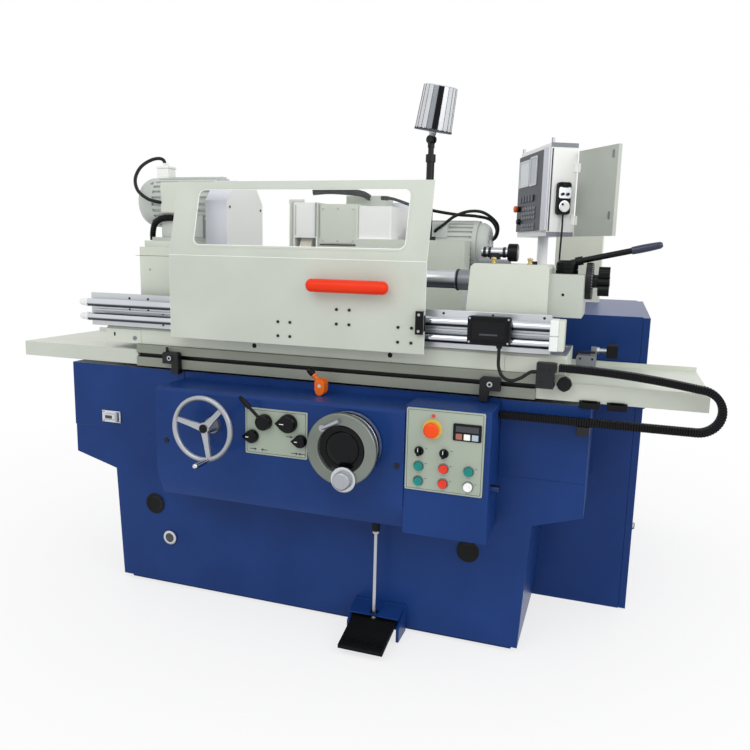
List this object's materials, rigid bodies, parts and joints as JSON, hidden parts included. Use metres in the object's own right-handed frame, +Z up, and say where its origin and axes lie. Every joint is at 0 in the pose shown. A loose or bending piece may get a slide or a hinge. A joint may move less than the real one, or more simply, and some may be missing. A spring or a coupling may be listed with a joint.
{
  "type": "cylindrical grinding machine",
  "caption": "Cylindrical grinder with a sliding table, workhead, tailstock, sliding guard, wheelhead, operator console and electrical cabinet.",
  "frame": {"origin": "on the floor under the middle of the bed, at the table centre line of the operator side", "axes": "+X along the table to the operator's right, +Y away from the operator, +Z up"},
  "size_m": [2.4089, 1.756, 1.8577],
  "materials": {
    "blue_enamel": "glossy enamel over castings",
    "cream_enamel": "satin enamel",
    "grey_enamel": "hammered grey enamel",
    "bright_steel": "ground and lightly oiled",
    "cast_grey": "machined cast iron",
    "black_plastic": "matte moulding",
    "gloss_black": "glossy moulding",
    "red_plastic": "glossy moulding",
    "orange_plastic": "glossy moulding",
    "green_plastic": "glossy moulding",
    "white_plastic": "glossy moulding",
    "black_rubber": "soft matte",
    "clear_pane": "clear polycarbonate sheet",
    "grinding_stone": "bonded abrasive",
    "aluminium_shade": "brushed, ribbed"
  },
  "bodies": {
    "machine": {"bed_casting": "blue_enamel", "apron_housing": "blue_enamel", "control_box": "blue_enamel", "control_plate": "cream_enamel", "pedal_bracket": "blue_enamel", "cabinet_body": "blue_enamel", "console_post": "cream_enamel"},
    "table": {"lower_table": "cream_enamel", "left_wing": "cream_enamel", "right_wing": "cream_enamel", "cable_chain": "black_plastic"},
    "left_dog": {"left_dog": "black_plastic"},
    "right_dog": {"right_dog": "black_plastic"},
    "swivel_table": {"upper_table": "cream_enamel", "slide_rails": "bright_steel", "interlock_block": "black_plastic", "interlock_lead": "black_rubber"},
    "workhead": {"workhead_body": "cream_enamel", "workhead_motor": "cast_grey", "workhead_belt_guard": "cream_enamel"},
    "faceplate": {"workhead_faceplate": "bright_steel"},
    "guard": {"guard_panel": "cream_enamel", "guard_window": "clear_pane", "guard_handle": "orange_plastic"},
    "tailstock": {"tailstock_body": "cream_enamel", "wheel_dresser": "gloss_black"},
    "quill": {"tailstock_quill": "bright_steel"},
    "quill_lever": {"tailstock_lever": "gloss_black"},
    "quill_knob": {"tailstock_knob": "gloss_black"},
    "wheelhead": {"cross_slide": "cast_grey", "wheelhead_body": "cream_enamel", "wheelhead_motor": "cast_grey", "wheel_guard": "cream_enamel"},
    "wheel": {"grinding_wheel": "grinding_stone"},
    "lamp_arm": {"lamp_arm": "gloss_black"},
    "lamp_head": {"lamp_head": "aluminium_shade"},
    "table_handwheel": {"table_handwheel": "grey_enamel"},
    "crossfeed_handwheel": {"crossfeed_handwheel": "bright_steel"},
    "fine_feed_knob": {"fine_feed_knob": "bright_steel"},
    "hydraulic_lever": {"hydraulic_lever": "gloss_black"},
    "feed_knob": {"feed_knob": "gloss_black"},
    "left_knob": {"left_knob": "gloss_black"},
    "right_knob": {"right_knob": "gloss_black"},
    "reversing_lever": {"reversing_lever": "orange_plastic"},
    "green_button_1": {"green_button_1": "green_plastic"},
    "green_button_2": {"green_button_2": "green_plastic"},
    "green_button_3": {"green_button_3": "green_plastic"},
    "red_button_1": {"red_button_1": "red_plastic"},
    "red_button_2": {"red_button_2": "red_plastic"},
    "white_button": {"white_button": "white_plastic"},
    "left_selector": {"left_selector": "black_plastic"},
    "right_selector": {"right_selector": "black_plastic"},
    "emergency_stop": {"emergency_stop": "orange_plastic"},
    "foot_pedal": {"foot_pedal": "black_rubber"},
    "pedal_rod": {"pedal_rod": "bright_steel"},
    "cabinet_door": {"cabinet_door": "blue_enamel"},
    "console": {"console_box": "cream_enamel", "pendant": "black_plastic", "pendant_cord": "black_rubber"},
    "console_door": {"console_door": "cream_enamel"}
  },
  "joints": [
    {"name": "table_traverse", "type": "slide", "parent": "machine", "child": "table", "axis": [1, 0, 0], "range_m": [-0.375, 0.375], "deforming": ["cable_chain"]},
    {"name": "left_dog_slide", "type": "slide", "parent": "table", "child": "left_dog", "axis": [1, 0, 0], "range_m": [-0.05, 0.3]},
    {"name": "right_dog_slide", "type": "slide", "parent": "table", "child": "right_dog", "axis": [1, 0, 0], "range_m": [-0.3, 0.03]},
    {"name": "table_swivel", "type": "hinge", "parent": "table", "child": "swivel_table", "pos_m": [0.04, -0.06, 0.9], "axis": [0, 0, 1], "range_deg": [-1, 3], "deforming": ["interlock_lead"]},
    {"name": "workhead_slide", "type": "slide", "parent": "swivel_table", "child": "workhead", "axis": [1, 0, 0], "range_m": [-0.05, 0.12]},
    {"name": "workhead_spin", "type": "hinge", "parent": "workhead", "child": "faceplate", "pos_m": [-0.35, -0.06, 1.16], "axis": [1, 0, 0], "continuous": true},
    {"name": "guard_slide", "type": "slide", "parent": "swivel_table", "child": "guard", "axis": [1, 0, 0], "range_m": [-0.26, 0.12]},
    {"name": "tailstock_slide", "type": "slide", "parent": "swivel_table", "child": "tailstock", "axis": [1, 0, 0], "range_m": [-0.15, 0]},
    {"name": "quill_slide", "type": "slide", "parent": "tailstock", "child": "quill", "axis": [1, 0, 0], "range_m": [0, 0.03]},
    {"name": "quill_lever_turn", "type": "hinge", "parent": "tailstock", "child": "quill_lever", "pos_m": [0.792, -0.06, 1.19], "axis": [0, 0, -1], "range_deg": [0, 60], "stiffness_Nm_per_rad": 4, "springref_deg": -11.46},
    {"name": "quill_knob_turn", "type": "hinge", "parent": "tailstock", "child": "quill_knob", "pos_m": [0.85, -0.06, 1.17], "axis": [1, 0, 0], "continuous": true},
    {"name": "wheelhead_infeed", "type": "slide", "parent": "machine", "child": "wheelhead", "axis": [0, 1, 0], "range_m": [-0.18, 0]},
    {"name": "wheel_spin", "type": "hinge", "parent": "wheelhead", "child": "wheel", "pos_m": [-0.246, 0.487, 1.16], "axis": [1, 0, 0], "continuous": true},
    {"name": "lamp_swivel", "type": "hinge", "parent": "wheelhead", "child": "lamp_arm", "pos_m": [0.241, 0.34, 1.29], "axis": [0, 0, 1], "range_deg": [-170, 170]},
    {"name": "lamp_tilt", "type": "hinge", "parent": "lamp_arm", "child": "lamp_head", "pos_m": [0.241, 0.34, 1.66], "axis": [0.4478, 0.8942, 0], "range_deg": [-101.2, 78.8]},
    {"name": "table_handwheel_turn", "type": "hinge", "parent": "machine", "child": "table_handwheel", "pos_m": [-0.247, -0.48, 0.685], "axis": [0, 1, 0], "range_deg": [-6750, 6750]},
    {"name": "crossfeed_turn", "type": "hinge", "parent": "machine", "child": "crossfeed_handwheel", "pos_m": [0.222, -0.45, 0.675], "axis": [0, 1, 0], "range_deg": [0, 16200]},
    {"name": "fine_feed_turn", "type": "hinge", "parent": "crossfeed_handwheel", "child": "fine_feed_knob", "pos_m": [0.234, -0.497, 0.589], "axis": [0, 1, 0], "continuous": true},
    {"name": "hydraulic_lever_turn", "type": "hinge", "parent": "machine", "child": "hydraulic_lever", "pos_m": [-0.063, -0.414, 0.713], "axis": [0, 1, 0], "range_deg": [0, 70]},
    {"name": "feed_knob_turn", "type": "hinge", "parent": "machine", "child": "feed_knob", "pos_m": [0.018, -0.414, 0.716], "axis": [0, 1, 0], "range_deg": [-45, 45]},
    {"name": "left_knob_turn", "type": "hinge", "parent": "machine", "child": "left_knob", "pos_m": [-0.106, -0.414, 0.663], "axis": [0, 1, 0], "range_deg": [-90, 90]},
    {"name": "right_knob_turn", "type": "hinge", "parent": "machine", "child": "right_knob", "pos_m": [0.06, -0.414, 0.664], "axis": [0, 1, 0], "range_deg": [-90, 90]},
    {"name": "reversing_lever_rock", "type": "hinge", "parent": "machine", "child": "reversing_lever", "pos_m": [0.079, -0.306, 0.8053], "axis": [0, 1, 0], "range_deg": [-18, 18]},
    {"name": "green_button_1_press", "type": "slide", "parent": "machine", "child": "green_button_1", "axis": [0, 1, 0], "range_m": [0, 0.004], "stiffness_N_per_m": 400, "springref_m": -0.004},
    {"name": "green_button_2_press", "type": "slide", "parent": "machine", "child": "green_button_2", "axis": [0, 1, 0], "range_m": [0, 0.004], "stiffness_N_per_m": 400, "springref_m": -0.004},
    {"name": "green_button_3_press", "type": "slide", "parent": "machine", "child": "green_button_3", "axis": [0, 1, 0], "range_m": [0, 0.004], "stiffness_N_per_m": 400, "springref_m": -0.004},
    {"name": "red_button_1_press", "type": "slide", "parent": "machine", "child": "red_button_1", "axis": [0, 1, 0], "range_m": [0, 0.004], "stiffness_N_per_m": 400, "springref_m": -0.004},
    {"name": "red_button_2_press", "type": "slide", "parent": "machine", "child": "red_button_2", "axis": [0, 1, 0], "range_m": [0, 0.004], "stiffness_N_per_m": 400, "springref_m": -0.004},
    {"name": "white_button_press", "type": "slide", "parent": "machine", "child": "white_button", "axis": [0, 1, 0], "range_m": [0, 0.004], "stiffness_N_per_m": 400, "springref_m": -0.004},
    {"name": "emergency_stop_press", "type": "slide", "parent": "machine", "child": "emergency_stop", "axis": [0, 1, 0], "range_m": [0, 0.005], "stiffness_N_per_m": 900, "springref_m": -0.004},
    {"name": "left_selector_turn", "type": "hinge", "parent": "machine", "child": "left_selector", "pos_m": [0.434, -0.41, 0.675], "axis": [0, 1, 0], "range_deg": [-45, 45]},
    {"name": "right_selector_turn", "type": "hinge", "parent": "machine", "child": "right_selector", "pos_m": [0.508, -0.41, 0.675], "axis": [0, 1, 0], "range_deg": [-45, 45]},
    {"name": "pedal_tilt", "type": "hinge", "parent": "machine", "child": "foot_pedal", "pos_m": [0.276, -0.288, 0.052], "axis": [1, 0, 0], "range_deg": [0, 6], "stiffness_Nm_per_rad": 40, "springref_deg": -6.88},
    {"name": "pedal_rod_slide", "type": "slide", "parent": "machine", "child": "pedal_rod", "axis": [0, 0, 1], "range_m": [-0.0021, 0]},
    {"name": "cabinet_door_swing", "type": "hinge", "parent": "machine", "child": "cabinet_door", "pos_m": [1.051, 1.184, 0.5], "axis": [0, 0, 1], "range_deg": [0, 110]},
    {"name": "console_swing", "type": "hinge", "parent": "machine", "child": "console", "pos_m": [0.638, 0.6815, 1.2], "axis": [0, 0, 1], "range_deg": [-30, 30], "deforming": ["pendant_cord"]},
    {"name": "console_door_swing", "type": "hinge", "parent": "console", "child": "console_door", "pos_m": [0.77106, 0.54712, 1.5], "axis": [0, 0, 1], "range_deg": [0, 165]}
  ],
  "couplings": [
    {"joint": "table_handwheel_turn", "follows": "table_traverse", "rad_per_m": 314.16},
    {"joint": "crossfeed_turn", "follows": "wheelhead_infeed", "rad_per_m": -1570.8},
    {"joint": "quill_slide", "follows": "quill_lever_turn", "m_per_rad": 0.028648},
    {"joint": "pedal_rod_slide", "follows": "pedal_tilt", "m_per_rad": -0.02}
  ]
}
